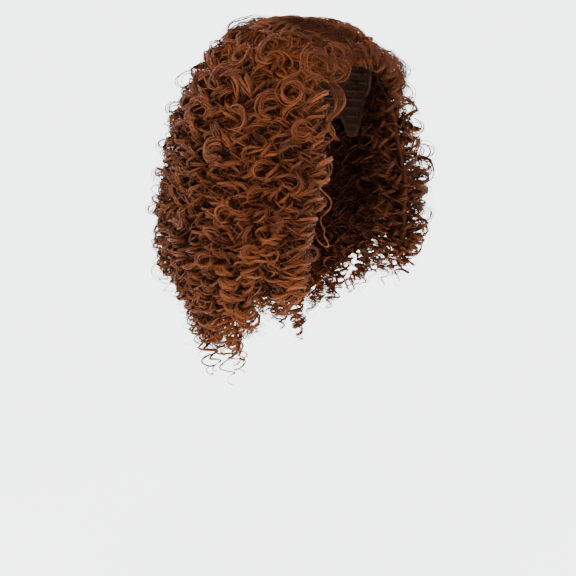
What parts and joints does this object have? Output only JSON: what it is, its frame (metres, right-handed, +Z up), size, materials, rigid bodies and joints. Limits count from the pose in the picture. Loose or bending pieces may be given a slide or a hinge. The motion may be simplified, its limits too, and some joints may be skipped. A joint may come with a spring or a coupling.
{
  "type": "short curly wig",
  "caption": "Short wig with a fitted cap, combed crown hair with a side parting, full ringlets to the collar and an open face.",
  "frame": {"origin": "the point inside the cap where it sits on the crown of the head", "axes": "+Z up, -Y towards the face opening, +X towards the wearer's left"},
  "size_m": [0.3038, 0.2713, 0.3805],
  "materials": {
    "cap_net": "matt stretch net",
    "combed_hair": "satin, fine straight fibres",
    "curly_hair": "satin, fine curled fibres"
  },
  "bodies": {
    "root": {"cap": "cap_net", "crown_hair": "combed_hair", "back_ringlets": "curly_hair", "left_side_ringlets": "curly_hair", "right_side_ringlets": "curly_hair", "left_face_locks": "curly_hair", "right_face_locks": "curly_hair"}
  },
  "joints": []
}
